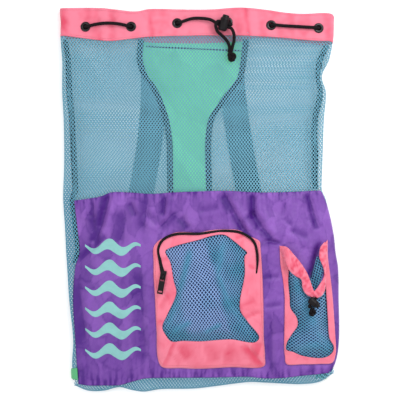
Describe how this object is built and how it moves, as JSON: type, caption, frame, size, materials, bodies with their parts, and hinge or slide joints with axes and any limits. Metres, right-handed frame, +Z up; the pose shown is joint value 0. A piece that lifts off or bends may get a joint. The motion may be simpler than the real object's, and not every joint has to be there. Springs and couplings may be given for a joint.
{
  "type": "mesh backpack",
  "caption": "Drawstring mesh backpack lying empty: laced pink hem, purple front panel with zip pocket and cinched side pocket, padded straps underneath.",
  "frame": {"origin": "on the floor, under the middle of the lying bag's outline", "axes": "+Z up from the floor through the front, +Y towards the mouth, +X to the right as seen from above"},
  "size_m": [0.4636, 0.6334, 0.0623],
  "materials": {
    "net": "open blue knitted net",
    "panel": "purple nylon",
    "pink_cloth": "pink woven cloth",
    "yoke_cloth": "mint woven cloth",
    "tape": "black tape",
    "cord": "black braided cord",
    "eyelet": "black",
    "lock": "black",
    "zip": "black",
    "strap": "padded net strap",
    "adjuster": "black",
    "tab": "green webbing"
  },
  "bodies": {
    "bag": {"front_mesh_left": "net", "front_mesh_middle": "net", "front_mesh_right": "net", "back_mesh_left": "net", "back_mesh_right": "net", "base_mesh": "net", "zip_pocket_mesh": "net", "side_pocket_mesh": "net", "panel_upper_left": "panel", "panel_upper_middle": "panel", "panel_upper_right": "panel", "panel_lower_left": "panel", "panel_lower_middle": "panel", "panel_lower_right": "panel", "hem_front": "pink_cloth", "hem_back": "pink_cloth", "hem_left": "pink_cloth", "hem_right": "pink_cloth", "zip_pocket_frame": "pink_cloth", "side_pocket_frame": "pink_cloth", "side_pocket_rim": "pink_cloth", "back_yoke": "yoke_cloth", "side_binding_left": "tape", "side_binding_right": "tape", "yoke_binding_left": "tape", "yoke_binding_right": "tape", "webbing_left": "tape", "webbing_right": "tape", "drawcord": "cord", "pocket_cord": "cord", "eyelet_front_1": "eyelet", "eyelet_front_2": "eyelet", "eyelet_front_3": "eyelet", "eyelet_front_4": "eyelet", "eyelet_front_5": "eyelet", "eyelet_front_6": "eyelet", "eyelet_back_1": "eyelet", "eyelet_back_2": "eyelet", "eyelet_back_3": "eyelet", "eyelet_back_4": "eyelet", "eyelet_back_5": "eyelet", "eyelet_back_6": "eyelet", "cord_lock_body": "lock", "pocket_lock_body": "lock", "zip_chain": "zip", "zip_slider": "zip", "strap_left": "strap", "strap_right": "strap", "adjuster_left": "adjuster", "adjuster_right": "adjuster", "corner_tab_left": "tab", "corner_tab_right": "tab"},
    "lock_button": {"cord_lock_button": "lock"},
    "pocket_button": {"pocket_lock_button": "lock"},
    "pull": {"zip_pull": "zip"}
  },
  "joints": [
    {"name": "lock_press", "type": "slide", "parent": "bag", "child": "lock_button", "axis": [-0.2756, -0.9613, 0], "range_m": [0, 0.003], "stiffness_N_per_m": 700},
    {"name": "pocket_lock_press", "type": "slide", "parent": "bag", "child": "pocket_button", "axis": [-0.766, 0.6428, 0], "range_m": [0, 0.0022], "stiffness_N_per_m": 500},
    {"name": "pull_swing", "type": "hinge", "parent": "bag", "child": "pull", "pos_m": [-0.06002, -0.12595, 0.0536], "axis": [-0.9848, 0.1736, 0], "range_deg": [0, 150]}
  ]
}
